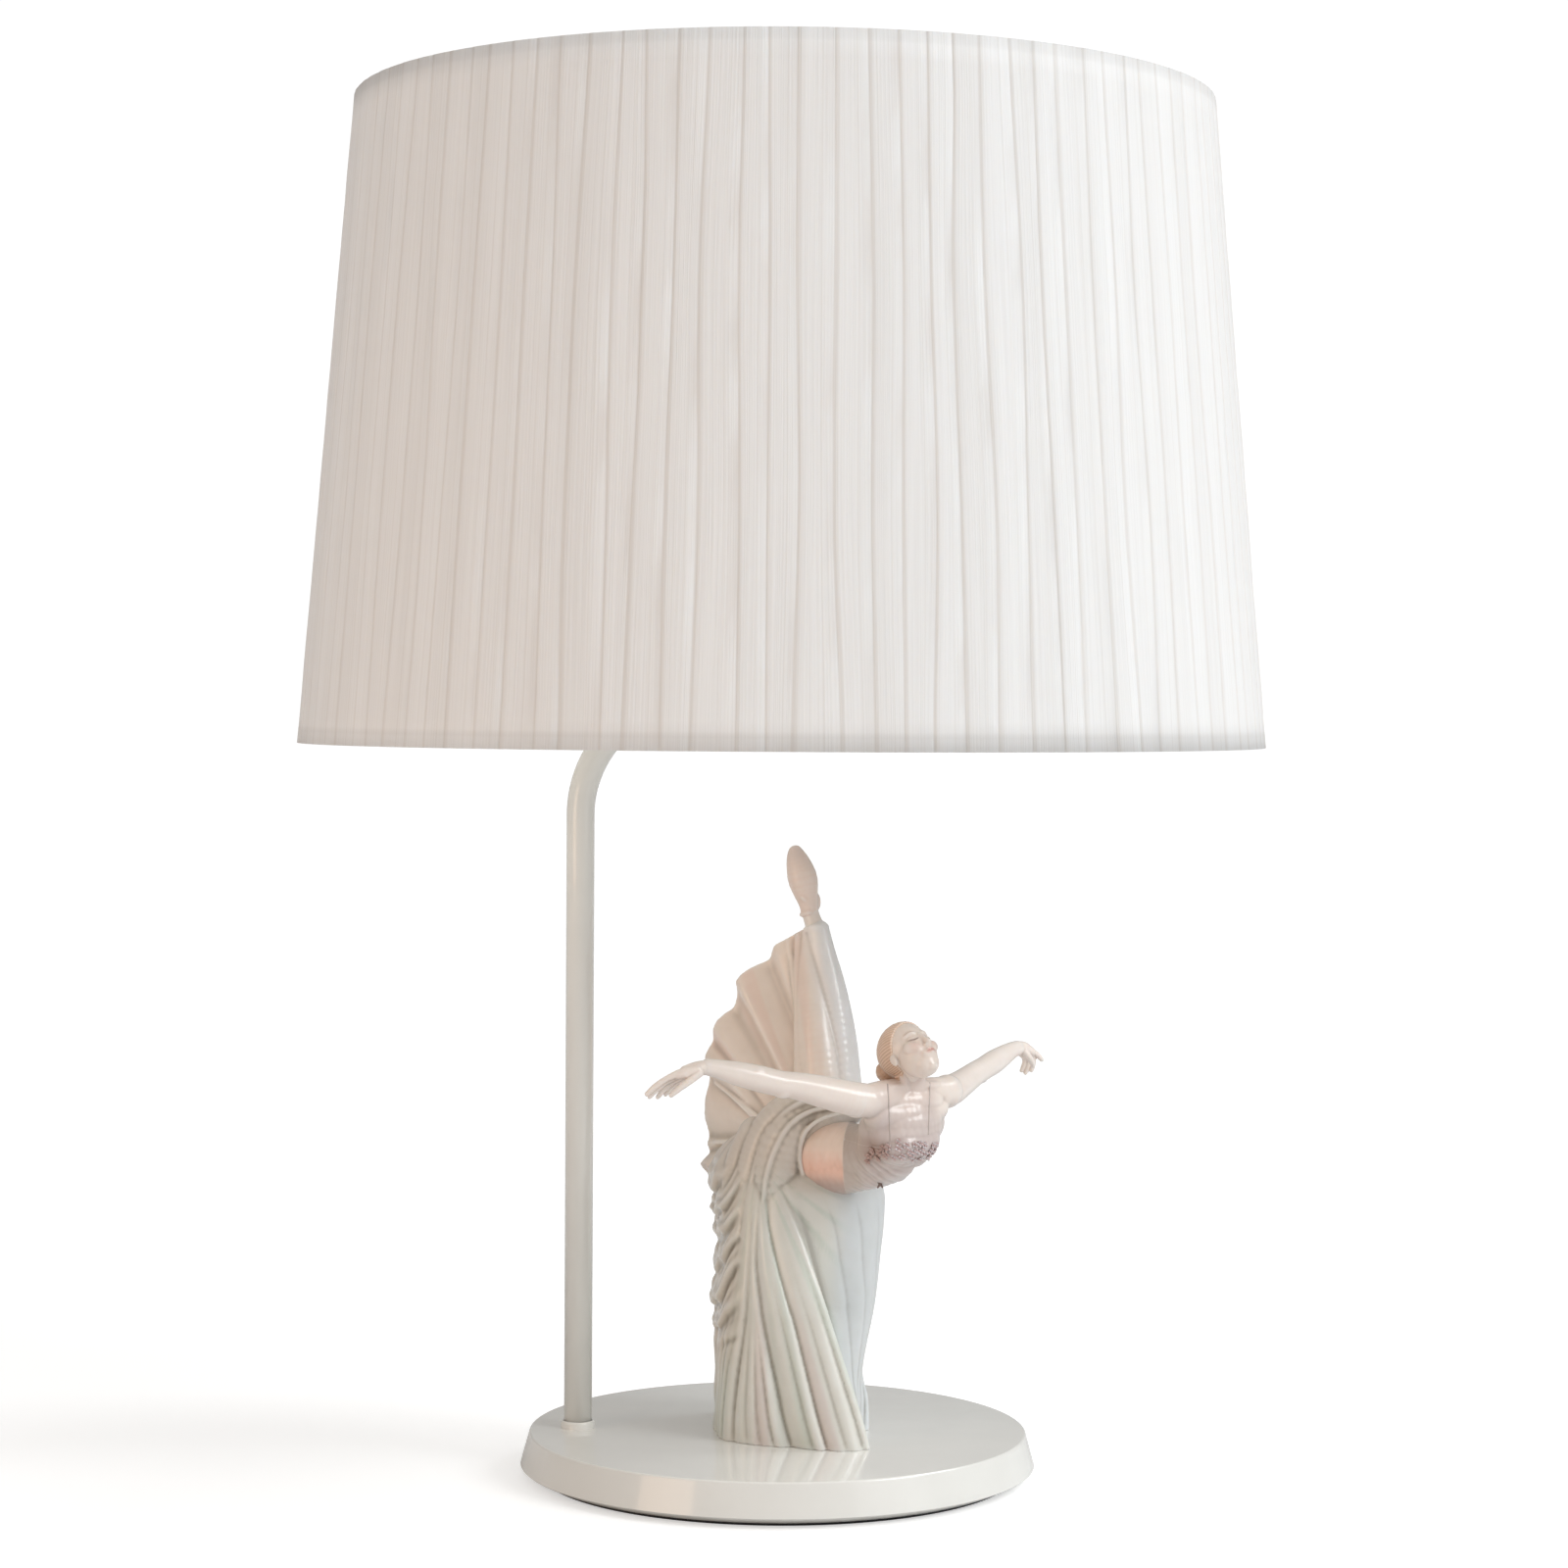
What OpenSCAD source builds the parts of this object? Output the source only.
// Table lamp with a porcelain dancer standing on its base.
// A round lacquered base carries a bent tube stem, the lampholder and a conical
// pleated shade. The dancer, in an arabesque, is bolted to the base from below.
// Millimetres, +Z up, origin at the centre of the underside.

/* [Base] */
// Widest diameter of the base, near its lower edge
base_d = 219.5; // [200:1:280]
// Height of the base, with its felt pad
base_h = 18.5; // [16:0.5:30]
// How much narrower the top face's radius is than the widest radius
base_top_inset = 3.5; // [1:0.5:8]
// How much narrower the underside's radius is than the widest radius
base_foot_inset = 5.75; // [2:0.25:8]
// Width of the rim round the hollow underside
rim_w = 12; // [8:0.5:14]
// Thickness of the top wall
top_wall = 4; // [3:0.5:6]
// Thickness of the felt pad
felt_t = 1.5; // [1:0.5:3]
// Thickness of the steel cover plate
cover_t = 1.5; // [1:0.5:2]
// Diameter of the cast ballast plate
ballast_d = 140; // [100:5:150]
// Thickness of the ballast plate
ballast_t = 6.5; // [4:0.5:7]
// Inside diameter of the cable bushing
cable_bore_d = 6.4; // [5:0.2:8]

/* [Stem] */
// Distance from the stem's axis in to the base's widest edge
stem_inset = 24.25; // [23:0.25:34]
// Outside diameter of the tube
tube_d = 12; // [10:0.5:16]
// Wall of the tube
tube_wall = 1; // [0.8:0.1:1.5]
// Bend radius at the top of the upright, on the tube's centre line
bend_r = 51; // [30:1:51]
// Bend radius under the lampholder, on the tube's centre line
riser_r = 24; // [18:1:24]
// Height of the arm's centre line above the shade's lower edge
arm_rise = 20.5; // [14:0.5:40]

/* [Shade] */
// Diameter of the shade's lower edge
shade_bottom_d = 410; // [340:5:500]
// Diameter of the shade's upper edge
shade_top_d = 364; // [300:2:450]
// Height of the shade
shade_h = 271; // [220:1:330]
// Height of the shade's lower edge above the table
shade_z = 311.5; // [290:0.5:420]
// Thickness of the pleated fabric
fabric_t = 1.4; // [0.8:0.1:2]
// Thickness of the stiff liner
liner_t = 0.8; // [0.5:0.1:1.5]
// Wire diameter of the shade's frame
wire_d = 3.2; // [2.5:0.1:5]
// Height of the binding on the lower edge
bottom_binding_h = 6; // [4:0.5:12]
// Height of the binding on the upper edge
top_binding_h = 4; // [3:0.5:12]

/* [Lampholder and bulb] */
// Outside diameter of the lampholder's threaded shell
holder_d = 39.5; // [38:0.1:40]
// Inside diameter of the lampholder's screw shell
screw_shell_d = 28; // [27.5:0.1:28.5]
// Diameter of the bulb's cap
bulb_cap_d = 26.4; // [26:0.1:26.8]
// Diameter of the bulb's glass
bulb_d = 60; // [45:1:70]
// Length of the bulb over all
bulb_len = 104; // [90:1:120]

/* [Dancer] */
// Height of the dancer from the base to the raised toe
dancer_h = 250; // [200:1:260]
// Place of the dancer's bolt on the base, to the right of the axis
dancer_x = 5; // [-10:1:15]
// Place of the dancer's bolt on the base, behind the axis
dancer_y = -2; // [-12:1:12]
// Thickness of the porcelain wall in the skirt
porcelain_t = 3.5; // [2.5:0.5:5]

/* [Hidden] */
$fn = 96;
BALL = 20;                    // facets of the spheres that hull() rounds limbs with

// Base
base_r = base_d / 2;
foot_r = base_r - base_foot_inset;
top_r = base_r - base_top_inset;
recess_r = base_r - rim_w;
widest_z = felt_t + 3;
edge_r = 0.8;                  // rounding of the top edge
ceiling_z = base_h - top_wall; // underside of the top wall
cover_z = felt_t + cover_t;    // upper face of the cover plate
plate_gap = 0.25;              // play round the cover plate
boss_r = 5;
boss_ring_r = recess_r - boss_r - 3;
boss_angles = [45, 135, 225, 315];
screw_r = 1.5;
ballast_angles = [30, 150, 270];
ballast_ring_r = 52;
bush_z = (cover_z + ceiling_z) / 2;
bush_neck_r = cable_bore_d / 2 + 1;
bush_flange_r = bush_neck_r + 1.2;
bush_flange_t = 1.5;
bush_seat_y = base_r - 3.6;    // flat that the bushing's flange seats on

// Stem
tube_r = tube_d / 2;
tube_in_r = tube_r - tube_wall;
stem_reach = base_r - stem_inset;   // from the lamp's axis
arm_z = shade_z + arm_rise;
stud_bore_r = 3.6;
stud_play = 0.2;
washer_t = 1.5;
washer_r = tube_in_r + 4;
nut_t = 3.6;
collar_h = 3.2;
collar_w = 1.3;

// Lampholder, stacked upward from the end of the tube
tube_end_z = arm_z + riser_r + 12;
cap_h = 18;
cap_wall = 2.5;
cap_foot_r = 13;
cap_shoulder_z = 4.5;
cap_rim_z = 9;
shell_z = tube_end_z + cap_h;
shell_h = 38;
holder_r = holder_d / 2;
screw_shell_r = screw_shell_d / 2;
screw_shell_t = 0.6;
core_z = tube_end_z + 8;
core_flange_z = 8;                       // top of the core's flange, above its foot
core_top_z = core_z + 16;
contact_h = 2.5;
bulb_z = core_top_z + contact_h + 0.5;   // lowest point of the bulb
neck_z = 25;                             // top of the bulb's cap, above its tip
glass_t = 1;
ring_r = 28.5;
ring_z = shell_z + 8;
ring_t = 4;
fitter_gap = 0.3;
fitter_z = ring_z + ring_t + fitter_gap;
fitter_t = 1.5;
fitter_in_r = holder_r + 1.25;
fitter_r = ring_r + 2;
ring_play = 0.08;

// Shade
shade_top_z = shade_z + shade_h;
slope = (shade_bottom_d - shade_top_d) / 2 / shade_h;
binding_t = 0.4;
wire_r = wire_d / 2;
wire_inset = wire_r + 0.9;               // from the shade's edge to the wire's centre
glue_t = 0.02;
weld = 0.5;                              // how far an arm runs into the fitter's rim
arm_angles = [60, 180, 300];
spider_r = 1.8;

// Dancer. Points are written for a figure DANCER_H0 tall and scaled from there.
DANCER_H0 = 250;
dancer_k = dancer_h / DANCER_H0;
pelvis = [14, -6, 118];
waist = [27, -22, 121];
ribs = [41, -39, 130];
bust = [49, -48, 127];
neck_root = [48, -45, 147];
head_c = [49.5, -50, 166.5];
bun_c = [38.5, -39, 157];
shoulder_r = [32, -60, 147];
elbow_r = [-1, -72, 158];
wrist_r = [-31, -84, 164];
knuckles_r = [-41, -88, 161];
tips_r = [-55, -90, 154];
shoulder_l = [64, -34, 150];
elbow_l = [81, -4, 158];
wrist_l = [98, 26, 163];
knuckles_l = [103, 31, 158];
tips_l = [106, 34, 150];
hip = [21, 1, 130];
knee = [18, 7, 172];
ankle = [7.5, 14, 220];
ball_of_foot = [3, 15, 235];
toe = [0.5, 16, 246];
train_edge = [[-6, 19, 202], [-19, 27, 187], [-28, 33, 167], [-33, 37, 148], [-34, 38, 130],
    [-34, 38, 112]];
// Skirt outline at each height: [height, left, right, front, back, turn in degrees]
skirt_sections = [[0, -29, 33, -38, 38, -12], [22, -29, 31, -34, 37, -9], [55, -33, 35, -29, 40, -5],
    [85, -32, 39, -26, 41, -2], [105, -32, 38, -22, 40, 0], [124, -27, 27, -14, 34, 0]];
plug_h = 12;
insert_r = 5;
insert_h = 12;
bolt_r = 3;
bolt_head_r = 5;
bolt_head_t = 4;
flower_count = 11;
flower_r = 1.3;

// ---- helpers ----

// Washer, ring or tube about the Z axis
module tube(r_out, r_in, h) {
    difference() {
        cylinder(r = r_out, h = h);
        translate([0, 0, -1]) cylinder(r = r_in, h = h + 2);
    }
}

// Hexagonal nut about the Z axis
module nut(flats, hole_r, h) {
    difference() {
        cylinder(r = flats / sqrt(3), h = h, $fn = 6);
        translate([0, 0, -1]) cylinder(r = hole_r, h = h + 2);
    }
}

// Pan-head screw pointing up, its head's underside at z = 0
module screw(shank_r, length, head_r, head_t) {
    cylinder(r = shank_r, h = length);
    translate([0, 0, -head_t]) difference() {
        cylinder(r = head_r, h = head_t);
        translate([0, 0, -1]) cylinder(r = head_r * 0.4, h = 1 + head_t / 2, $fn = 6);
    }
}

// Conical skin that follows the shade's slope, between two depths under its outer face
module shade_skin(z0, z1, depth_out, depth_in) {
    function face_r(z) = shade_bottom_d / 2 - (z - shade_z) * slope;
    rotate_extrude() polygon([[face_r(z0) - depth_in, z0], [face_r(z0) - depth_out, z0],
        [face_r(z1) - depth_out, z1], [face_r(z1) - depth_in, z1]]);
}

// Limb with rounded ends through points p, with a radius r at each
module limb(p, r) {
    for (i = [0 : len(p) - 2]) hull() {
        translate(p[i]) sphere(r = r[i], $fn = BALL);
        translate(p[i + 1]) sphere(r = r[i + 1], $fn = BALL);
    }
}

// Places a sculpted piece on the base, at the dancer's size
module on_base() {
    translate([dancer_x, dancer_y, base_h]) scale(dancer_k) children();
}

function mix(a, b, t) = a + (b - a) * t;
function section_at(h, i = 0) = i >= len(skirt_sections) - 2 || h <= skirt_sections[i + 1][0]
    ? let (a = skirt_sections[i], b = skirt_sections[i + 1])
        mix(a, b, (h - a[0]) / (b[0] - a[0]))
    : section_at(h, i + 1);

// One closed ring of the skirt at height h, shrunk by d on each side
function skirt_ring(h, d, n = 48) = let (s = section_at(h), cx = (s[1] + s[2]) / 2,
    cy = (s[3] + s[4]) / 2, rx = (s[2] - s[1]) / 2 - d, ry = (s[4] - s[3]) / 2 - d)
    [for (i = [0 : n - 1]) let (a = i * 360 / n, c = cos(a), q = sin(a),
        x = rx * sign(c) * pow(abs(c), 0.85), y = ry * sign(q) * pow(abs(q), 0.85))
        [cx + x * cos(s[5]) - y * sin(s[5]), cy + x * sin(s[5]) + y * cos(s[5]), h]];

// Closed solid through a stack of rings with equal point counts
module loft(rings) {
    n = len(rings[0]);
    m = len(rings);
    polyhedron(points = [for (r = rings) each r],
        faces = concat([[for (i = [0 : n - 1]) i]],
            [for (j = [0 : m - 2], i = [0 : n - 1])
                [j * n + i, (j + 1) * n + i, (j + 1) * n + (i + 1) % n, j * n + (i + 1) % n]],
            [[for (i = [n - 1 : -1 : 0]) (m - 1) * n + i]]));
}

// ---- base ----

module base_disc() {
    color([0.87, 0.86, 0.83]) difference() {
        rotate_extrude() polygon(concat(
            [[0, ceiling_z], [recess_r, ceiling_z], [recess_r, felt_t], [foot_r, felt_t],
                [base_r, widest_z]],
            [for (a = [0 : 15 : 90]) [top_r - edge_r * (1 - cos(a)),
                base_h - edge_r * (1 - sin(a))]],
            [[0, base_h]]));
        translate([-stem_reach, 0, 0]) cylinder(r = tube_in_r + stud_play, h = base_h + 1);
        translate([dancer_x, dancer_y, 0]) cylinder(r = bolt_r + 0.5, h = base_h + 1);
        for (a = ballast_angles) rotate(a) translate([ballast_ring_r, 0, ceiling_z - 1])
            cylinder(r = screw_r, h = top_wall);
        translate([0, 0, bush_z]) rotate([-90, 0, 0]) cylinder(r = bush_neck_r, h = base_r);
        translate([0, bush_seat_y, bush_z]) rotate([-90, 0, 0])
            cylinder(r = bush_flange_r + 0.2, h = base_r);
    }
    color([0.87, 0.86, 0.83]) for (a = boss_angles) rotate(a)
        translate([boss_ring_r, 0, cover_z]) tube(boss_r, screw_r, ceiling_z - cover_z);
}

module ballast_plate() {
    color([0.35, 0.35, 0.36]) translate([0, 0, ceiling_z - ballast_t]) difference() {
        cylinder(r = ballast_d / 2, h = ballast_t);
        translate([dancer_x, dancer_y, -1]) cylinder(r = bolt_head_r + 4, h = ballast_t + 2);
        translate([-stem_reach, 0, -1]) cylinder(r = washer_r + 1.5, h = ballast_t + 2);
        for (a = ballast_angles) rotate(a) translate([ballast_ring_r, 0, -1])
            cylinder(r = screw_r + 0.3, h = ballast_t + 2);
    }
}

module ballast_screws() {
    color([0.7, 0.7, 0.72]) for (a = ballast_angles) rotate(a)
        translate([ballast_ring_r, 0, ceiling_z - ballast_t])
            screw(screw_r, ballast_t + top_wall - 1.2, 3, 1.6);
}

module base_cover() {
    color([0.6, 0.6, 0.62]) translate([0, 0, felt_t]) difference() {
        cylinder(r = recess_r - plate_gap, h = cover_t);
        for (a = boss_angles) rotate(a) translate([boss_ring_r, 0, -1])
            cylinder(r = screw_r + 0.3, h = cover_t + 2);
    }
}

module cover_screws() {
    color([0.7, 0.7, 0.72]) for (a = boss_angles) rotate(a)
        translate([boss_ring_r, 0, felt_t]) screw(screw_r, ceiling_z - felt_t - 1.5, 2.8, 1);
}

module felt_pad() {
    color([0.16, 0.16, 0.17]) difference() {
        cylinder(r = foot_r - 3, h = felt_t);
        for (a = boss_angles) rotate(a) translate([boss_ring_r, 0, -1])
            cylinder(r = 4, h = felt_t + 2);
    }
}

module cable_bushing() {
    color([0.85, 0.85, 0.83]) translate([0, recess_r - 2, bush_z]) rotate([-90, 0, 0])
        difference() {
            union() {
                cylinder(r = bush_neck_r, h = bush_seat_y - recess_r + 2);
                translate([0, 0, bush_seat_y - recess_r + 2])
                    cylinder(r = bush_flange_r, h = bush_flange_t);
            }
            translate([0, 0, -1]) cylinder(r = cable_bore_d / 2, h = base_r);
        }
}

// ---- stem ----

module stem_collar() {
    color([0.88, 0.87, 0.84]) translate([-stem_reach, 0, base_h])
        rotate_extrude() polygon([[tube_r + 0.05, 0], [tube_r + collar_w, 0],
            [tube_r + collar_w, collar_h - 0.7], [tube_r + collar_w - 0.7, collar_h],
            [tube_r + 0.05, collar_h]]);
}

// Quarter bend of the tube, from straight up to the right, its centre at the origin
module quarter_bend(r) {
    rotate([90, 0, 0]) rotate_extrude(angle = 90) translate([r, 0]) difference() {
        circle(r = tube_r);
        circle(r = tube_in_r);
    }
}

module stem_tube() {
    color([0.88, 0.85, 0.81]) {
        translate([-stem_reach, 0, base_h]) tube(tube_r, tube_in_r, arm_z - bend_r - base_h);
        translate([-stem_reach + bend_r, 0, arm_z - bend_r]) mirror([1, 0, 0])
            quarter_bend(bend_r);
        translate([-stem_reach + bend_r, 0, arm_z]) rotate([0, 90, 0])
            tube(tube_r, tube_in_r, stem_reach - bend_r - riser_r);
        translate([-riser_r, 0, arm_z + riser_r]) mirror([0, 0, 1]) quarter_bend(riser_r);
        translate([0, 0, arm_z + riser_r])
            tube(tube_r, tube_in_r, tube_end_z - arm_z - riser_r);
    }
}

module stem_stud() {
    color([0.75, 0.74, 0.7]) translate([-stem_reach, 0, cover_z + 1.5])
        tube(tube_in_r, stud_bore_r, base_h - cover_z + 18);
}

module stem_washer() {
    color([0.75, 0.74, 0.7]) translate([-stem_reach, 0, ceiling_z - washer_t])
        tube(washer_r, tube_in_r + stud_play, washer_t);
}

module stem_nut() {
    color([0.75, 0.74, 0.7]) translate([-stem_reach, 0, ceiling_z - washer_t - nut_t])
        nut(tube_in_r * 2 + 5, tube_in_r, nut_t);
}

// ---- lampholder ----

module holder_nipple() {
    color([0.75, 0.74, 0.7]) translate([0, 0, tube_end_z - 10])
        tube(tube_in_r, stud_bore_r, 17);
}

module holder_cap() {
    color([0.93, 0.92, 0.89]) translate([0, 0, tube_end_z]) rotate_extrude()
        polygon([[tube_in_r, 0], [cap_foot_r, 0], [holder_r - 1.25, cap_shoulder_z],
            [holder_r, cap_rim_z], [holder_r, cap_h], [holder_r - cap_wall, cap_h],
            [holder_r - cap_wall, cap_rim_z], [cap_foot_r - 1, cap_wall], [tube_in_r, cap_wall]]);
}

module holder_locknut() {
    color([0.75, 0.74, 0.7]) translate([0, 0, tube_end_z + cap_wall])
        nut(tube_in_r * 2 + 4, tube_in_r, 3);
}

module holder_core() {
    color([0.93, 0.92, 0.88]) translate([0, 0, core_z]) difference() {
        union() {
            cylinder(r = screw_shell_r - 0.5, h = core_top_z - core_z);
            translate([0, 0, core_flange_z - 4])
                cylinder(r = holder_r - cap_wall - 0.2, h = 4);
        }
        for (s = [-1, 1]) translate([s * 7, 0, -1])
            cylinder(r = 1.6, h = core_top_z - core_z + 2);
    }
}

module holder_contact() {
    color([0.8, 0.68, 0.4]) translate([0, 0, core_top_z]) {
        cylinder(r = 4, h = 0.8);
        cylinder(r = 2.2, h = contact_h);
    }
}

module holder_screw_shell() {
    color([0.8, 0.68, 0.4]) translate([0, 0, core_z + core_flange_z])
        tube(screw_shell_r + screw_shell_t, screw_shell_r, 30);
}

module holder_shell() {
    color([0.93, 0.92, 0.89]) translate([0, 0, shell_z]) rotate_extrude()
        polygon([[screw_shell_r + 1.5, 0], [holder_r, 0], [holder_r, shell_h],
            [screw_shell_r + 0.4, shell_h], [screw_shell_r + 0.4, shell_h - 1.5],
            [screw_shell_r + 1.5, shell_h - 1.5]]);
}

module shade_ring_lower() {
    color([0.93, 0.92, 0.89]) translate([0, 0, ring_z]) tube(ring_r, holder_r, ring_t);
}

module shade_ring_upper() {
    color([0.93, 0.92, 0.89]) translate([0, 0, fitter_z + fitter_t + fitter_gap]) difference() {
        tube(ring_r, holder_r + ring_play, ring_t);
        for (a = [0 : 15 : 345]) rotate(a) translate([ring_r, 0, 1])
            cylinder(r = 1, h = ring_t);
    }
}

// ---- bulb ----

// Half profile of the bulb's glass from the neck to the top, a depth d under its outer face
function glass_profile(d) = let (r = bulb_d / 2, mid = bulb_len - r, low = mid - r * sin(40))
    concat([[bulb_cap_d / 2 - 0.6 - d, neck_z]],
        [for (t = [0.15 : 0.15 : 0.9]) [mix(bulb_cap_d / 2, r * cos(40), t * t * (3 - 2 * t)) - d,
            mix(neck_z, low, t)]],
        [for (a = [-40 : 10 : 80]) [(r - d) * cos(a), mid + (r - d) * sin(a)]],
        [[0, bulb_len - d]]);

module bulb_glass() {
    inner = glass_profile(glass_t);
    color([0.98, 0.96, 0.9]) translate([0, 0, bulb_z]) rotate_extrude()
        polygon(concat(glass_profile(0), [for (i = [len(inner) - 1 : -1 : 0]) inner[i]]));
}

module bulb_cap() {
    color([0.78, 0.77, 0.74]) translate([0, 0, bulb_z]) rotate_extrude() polygon(concat(
        [[4.5, 2.6], [9, 3], [bulb_cap_d / 2 - 1.2, 5.5]],
        [for (i = [0 : 4]) each [[bulb_cap_d / 2, 7.2 + 3.5 * i],
            [bulb_cap_d / 2 - 1.2, 8.9 + 3.5 * i]]],
        [[bulb_cap_d / 2, neck_z], [0, neck_z], [0, 8], [4.5, 8]]));
}

module bulb_insulator() {
    color([0.12, 0.12, 0.13]) translate([0, 0, bulb_z]) {
        translate([0, 0, 1.5]) cylinder(r = 4.5, h = 6.5);
        cylinder(r = 2.5, h = 1.5);
    }
}

// ---- shade ----

module shade_fitter() {
    color([0.9, 0.9, 0.88]) translate([0, 0, fitter_z]) tube(fitter_r, fitter_in_r, fitter_t);
}

// Three arms from the fitter's rim down to the lower wire, which they are welded to
module shade_spider() {
    root_z = fitter_z + fitter_t / 2;
    run = wire_ring_r(wire_inset) - fitter_r;
    drop = root_z - (shade_z + wire_inset);
    color([0.9, 0.9, 0.88]) for (a = arm_angles) rotate(a) translate([fitter_r, 0, root_z])
        rotate([0, 90 + atan2(drop, run), 0])
            translate([0, 0, -weld]) cylinder(r = spider_r, h = sqrt(run * run + drop * drop) + weld);
}

// Radius of a frame wire's ring that lies against the liner, h above the shade's lower edge
function wire_ring_r(h) = shade_bottom_d / 2 - h * slope - fabric_t - liner_t
    - (wire_r + glue_t) * sqrt(1 + slope * slope);

module frame_wire(h) {
    color([0.9, 0.9, 0.88]) translate([0, 0, shade_z + h]) rotate_extrude()
        translate([wire_ring_r(h), 0]) circle(r = wire_r, $fn = 32);
}

module shade_bottom_wire() {
    frame_wire(wire_inset);
}

module shade_top_wire() {
    frame_wire(shade_h - wire_inset);
}

module shade_liner() {
    color([0.95, 0.94, 0.91])
        shade_skin(shade_z + 0.6, shade_top_z - 0.6, fabric_t, fabric_t + liner_t);
}

module shade_fabric() {
    color([0.94, 0.93, 0.91]) shade_skin(shade_z + 0.6, shade_top_z - 0.6, binding_t, fabric_t);
}

// Tape folded over an edge: an outer band and a lip that covers the layers' ends
module shade_top_binding() {
    color([0.92, 0.91, 0.89]) {
        shade_skin(shade_top_z - top_binding_h, shade_top_z - 0.6, 0, binding_t);
        shade_skin(shade_top_z - 0.6, shade_top_z, 0, fabric_t + liner_t);
    }
}

module shade_bottom_binding() {
    color([0.92, 0.91, 0.89]) {
        shade_skin(shade_z + 0.6, shade_z + bottom_binding_h, 0, binding_t);
        shade_skin(shade_z, shade_z + 0.6, 0, fabric_t + liner_t);
    }
}

// ---- dancer ----

module dancer_skirt() {
    wall = porcelain_t / dancer_k;
    color([0.9, 0.92, 0.9]) on_base() difference() {
        loft([for (h = [0 : 12 : 120]) skirt_ring(h, 0)]);
        loft([for (h = [-2, 0, plug_h / dancer_k, 36, 60, 84, 104])
            [for (p = skirt_ring(max(h, 0), wall)) [p[0], p[1], h]]]);
    }
}

module dancer_train() {
    color([0.9, 0.84, 0.79]) on_base() hull() {
        for (p = train_edge) translate(p) sphere(r = 3.5, $fn = BALL);
        translate(hip) sphere(r = 12.5, $fn = BALL);
        translate(knee) sphere(r = 9, $fn = BALL);
        translate(mix(knee, ankle, 0.75)) sphere(r = 4.5, $fn = BALL);
    }
}

module dancer_raised_leg() {
    color([0.93, 0.86, 0.8]) on_base()
        limb([mix(knee, ankle, 0.6), mix(knee, ankle, 0.85), ankle], [4.6, 4, 3.2]);
}

module dancer_slipper() {
    color([0.92, 0.82, 0.76]) on_base() limb([ankle, ball_of_foot, toe], [3.5, 5.5, 4]);
}

module dancer_hip_sash() {
    color([0.85, 0.7, 0.64]) on_base() limb([pelvis, waist], [14.5, 12]);
}

module dancer_bodice() {
    color([0.8, 0.74, 0.73]) on_base() {
        limb([waist, ribs, mix(ribs, neck_root, 0.45)], [11.5, 12.5, 12]);
        limb([ribs, bust], [12, 11]);
    }
}

module dancer_chest() {
    color([0.93, 0.87, 0.83]) on_base() {
        limb([mix(ribs, neck_root, 0.5), neck_root], [12, 7]);
        limb([shoulder_r, neck_root, shoulder_l], [5.2, 7.5, 5.2]);
        limb([neck_root, mix(neck_root, head_c, 0.65)], [5, 4.4]);
    }
}

module dancer_head() {
    color([0.93, 0.86, 0.8]) on_base() translate(head_c) sphere(r = 12.6, $fn = 32);
}

module dancer_hair() {
    color([0.86, 0.74, 0.63]) on_base() intersection() {
        translate(head_c) sphere(r = 13.4, $fn = 32);
        translate(head_c + [-7.5, 8.5, -1]) sphere(r = 14, $fn = 32);
    }
}

module dancer_bun() {
    color([0.86, 0.74, 0.63]) on_base() translate(bun_c) sphere(r = 5.2, $fn = 32);
}

module dancer_right_arm() {
    color([0.93, 0.87, 0.83]) on_base() limb([shoulder_r, elbow_r, wrist_r], [5, 3.8, 2.6]);
}

module dancer_right_hand() {
    color([0.93, 0.87, 0.83]) on_base() limb([wrist_r, knuckles_r, tips_r], [2.7, 3.6, 1.4]);
}

module dancer_left_arm() {
    color([0.93, 0.87, 0.83]) on_base() limb([shoulder_l, elbow_l, wrist_l], [5, 3.8, 2.6]);
}

module dancer_left_hand() {
    color([0.93, 0.87, 0.83]) on_base() limb([wrist_l, knuckles_l, tips_l], [2.7, 3.4, 1.6]);
}

// Row of small hand-made flowers round the front of the bodice
module dancer_flowers() {
    along = (neck_root - pelvis) / norm(neck_root - pelvis);
    side = (shoulder_l - shoulder_r) / norm(shoulder_l - shoulder_r);
    front = cross(along, side);
    color([0.84, 0.77, 0.78]) on_base() for (i = [0 : flower_count - 1]) {
        a = mix(-75, 75, i / (flower_count - 1));
        translate(bust + 11.2 * (side * sin(a) - front * cos(a)))
            sphere(r = flower_r, $fn = 24);
    }
}

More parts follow.
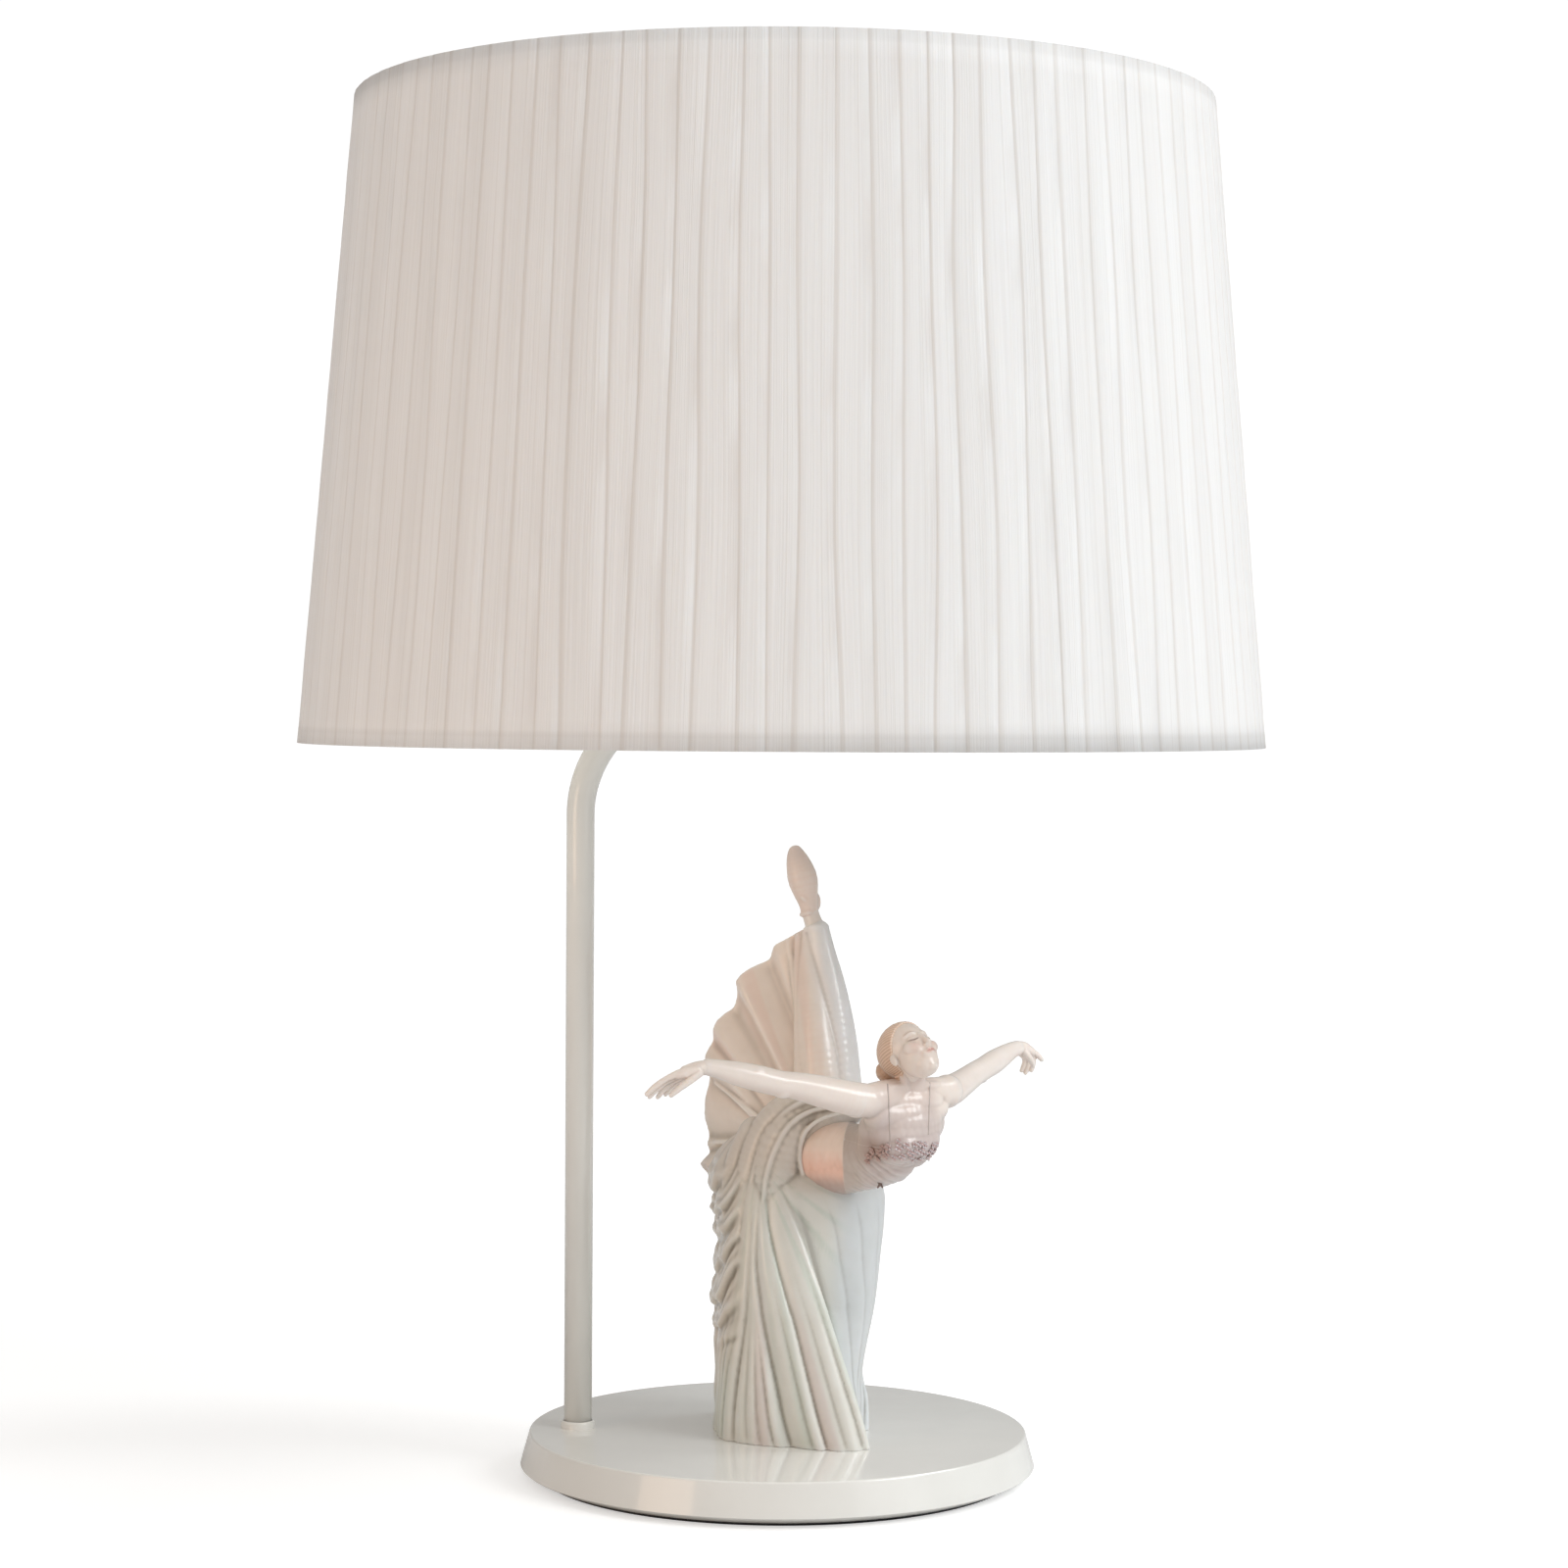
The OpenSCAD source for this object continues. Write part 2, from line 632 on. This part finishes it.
module dancer_straps() {
    color([0.8, 0.74, 0.73]) on_base() for (s = [shoulder_r, shoulder_l])
        hull() {
            translate(mix(s, neck_root, 0.42) + [1, -1, 7]) sphere(r = 0.7, $fn = 12);
            translate(mix(s, ribs, 0.35) + [3, -9, 4]) sphere(r = 0.7, $fn = 12);
        }
}

// Plaster plug cast into the skirt, and the bolt that holds the dancer down
module dancer_plug() {
    color([0.9, 0.9, 0.88]) difference() {
        on_base() loft([for (h = [0, plug_h / dancer_k]) skirt_ring(h, porcelain_t / dancer_k)]);
        translate([dancer_x, dancer_y, base_h - 1]) cylinder(r = insert_r, h = plug_h + 2);
    }
}

module dancer_insert() {
    color([0.8, 0.68, 0.4]) translate([dancer_x, dancer_y, base_h])
        tube(insert_r, bolt_r, insert_h);
}

module dancer_bolt() {
    color([0.7, 0.7, 0.72]) translate([dancer_x, dancer_y, ceiling_z - washer_t])
        screw(bolt_r, top_wall + washer_t + insert_h - 2, bolt_head_r, bolt_head_t);
}

module dancer_washer() {
    color([0.7, 0.7, 0.72]) translate([dancer_x, dancer_y, ceiling_z - washer_t])
        tube(bolt_head_r + 2.5, bolt_r + 0.3, washer_t);
}

base_disc();
ballast_plate();
ballast_screws();
base_cover();
cover_screws();
felt_pad();
cable_bushing();
stem_collar();
stem_tube();
stem_stud();
stem_washer();
stem_nut();
holder_nipple();
holder_cap();
holder_locknut();
holder_core();
holder_contact();
holder_screw_shell();
holder_shell();
shade_ring_lower();
shade_ring_upper();
bulb_glass();
bulb_cap();
bulb_insulator();
shade_fitter();
shade_spider();
shade_bottom_wire();
shade_top_wire();
shade_liner();
shade_fabric();
shade_top_binding();
shade_bottom_binding();
dancer_skirt();
dancer_train();
dancer_raised_leg();
dancer_slipper();
dancer_hip_sash();
dancer_bodice();
dancer_chest();
dancer_head();
dancer_hair();
dancer_bun();
dancer_right_arm();
dancer_right_hand();
dancer_left_arm();
dancer_left_hand();
dancer_flowers();
dancer_straps();
dancer_plug();
dancer_insert();
dancer_bolt();
dancer_washer();
